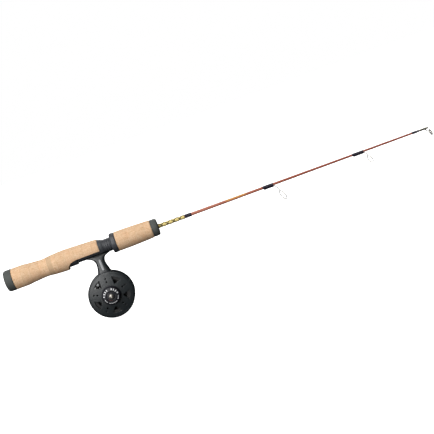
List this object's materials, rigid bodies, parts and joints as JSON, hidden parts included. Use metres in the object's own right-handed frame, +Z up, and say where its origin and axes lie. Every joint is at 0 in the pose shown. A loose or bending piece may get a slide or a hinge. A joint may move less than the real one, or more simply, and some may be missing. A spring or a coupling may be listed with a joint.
{
  "type": "ice fishing rod",
  "caption": "Short ice fishing rod with cork grips, wire line guides and an inline reel with a ported side plate, wound by a crank.",
  "frame": {"origin": "centre of the butt cap's flat rear face, on the rod's axis", "axes": "+X along the rod towards the tip; +Z up, the reel hangs at -Z; the crank is on the +Y side"},
  "size_m": [0.6136, 0.0538, 0.1117],
  "materials": {
    "cork": "natural cork, satin, fine pores",
    "rubber": "matt dark rubberised caps",
    "seat_plastic": "moulded black, semi-gloss",
    "graphite": "satin dark grey moulding",
    "steel": "bright steel",
    "guide_wire": "polished wire",
    "brass": "warm plated metal",
    "blank": "copper-brown glass, clear-coated",
    "gold_thread": "gold and black cross-wound thread under clear resin",
    "navy_thread": "black thread under clear resin",
    "washer": "drag fibre"
  },
  "bodies": {
    "root": {"butt_cap": "rubber", "rear_grip": "cork", "seat_body": "seat_plastic", "rear_hood": "seat_plastic", "rod_blank": "blank", "butt_wrap": "gold_thread", "trim_wrap": "navy_thread", "guide_1_frame": "guide_wire", "guide_1_ring": "guide_wire", "guide_1_wrap": "navy_thread", "guide_2_frame": "guide_wire", "guide_2_ring": "guide_wire", "guide_2_wrap": "navy_thread", "tip_wrap": "navy_thread", "tip_tube": "brass", "tip_ring": "guide_wire", "tip_brace": "guide_wire", "reel_frame": "graphite", "hub_cover": "seat_plastic", "hub_screw": "steel", "spindle": "steel", "inner_bearing": "steel", "outer_bearing": "steel", "pawl_pin": "steel"},
    "front_hood": {"front_hood": "seat_plastic"},
    "fore_grip": {"foregrip_nut": "seat_plastic", "fore_grip": "cork", "front_cap": "rubber"},
    "spool": {"spool": "graphite"},
    "crank": {"drive_sleeve": "brass", "ratchet_wheel": "steel", "inner_drag_washer": "washer", "outer_drag_washer": "washer", "keyed_washer": "steel", "crank_arm": "steel", "crank_nut": "steel", "knob_screw_1": "steel", "knob_screw_2": "steel"},
    "drag_star": {"drag_star": "graphite"},
    "crank_knob_1": {"crank_knob_1": "rubber"},
    "crank_knob_2": {"crank_knob_2": "rubber"},
    "anti_reverse_pawl": {"anti_reverse_pawl": "steel"}
  },
  "joints": [
    {"name": "hood_slide", "type": "slide", "parent": "root", "child": "front_hood", "axis": [1, 0, 0], "range_m": [0, 0.008]},
    {"name": "foregrip_turn", "type": "hinge", "parent": "front_hood", "child": "fore_grip", "pos_m": [0.1601, 0, 0], "axis": [1, 0, 0], "range_deg": [0, 960]},
    {"name": "crank_spin", "type": "hinge", "parent": "root", "child": "crank", "pos_m": [0.1286, 0, -0.065], "axis": [0, 1, 0], "continuous": true},
    {"name": "spool_spin", "type": "hinge", "parent": "root", "child": "spool", "pos_m": [0.1286, 0, -0.065], "axis": [0, 1, 0], "continuous": true},
    {"name": "drag_turn", "type": "hinge", "parent": "crank", "child": "drag_star", "pos_m": [0.1286, 0, -0.065], "axis": [0, 1, 0], "range_deg": [-180, 90]},
    {"name": "knob_1_spin", "type": "hinge", "parent": "crank", "child": "crank_knob_1", "pos_m": [0.11488, 0, -0.04977], "axis": [0, 1, 0], "continuous": true},
    {"name": "knob_2_spin", "type": "hinge", "parent": "crank", "child": "crank_knob_2", "pos_m": [0.14232, 0, -0.08023], "axis": [0, 1, 0], "continuous": true},
    {"name": "pawl_lift", "type": "hinge", "parent": "root", "child": "anti_reverse_pawl", "pos_m": [0.1145, -0.0064, -0.07013], "axis": [0, 1, 0], "range_deg": [0, 15], "stiffness_Nm_per_rad": 0.002}
  ],
  "couplings": [
    {"joint": "hood_slide", "follows": "foregrip_turn", "m_per_rad": 0.000477},
    {"joint": "spool_spin", "follows": "crank_spin", "ratio": 1}
  ]
}
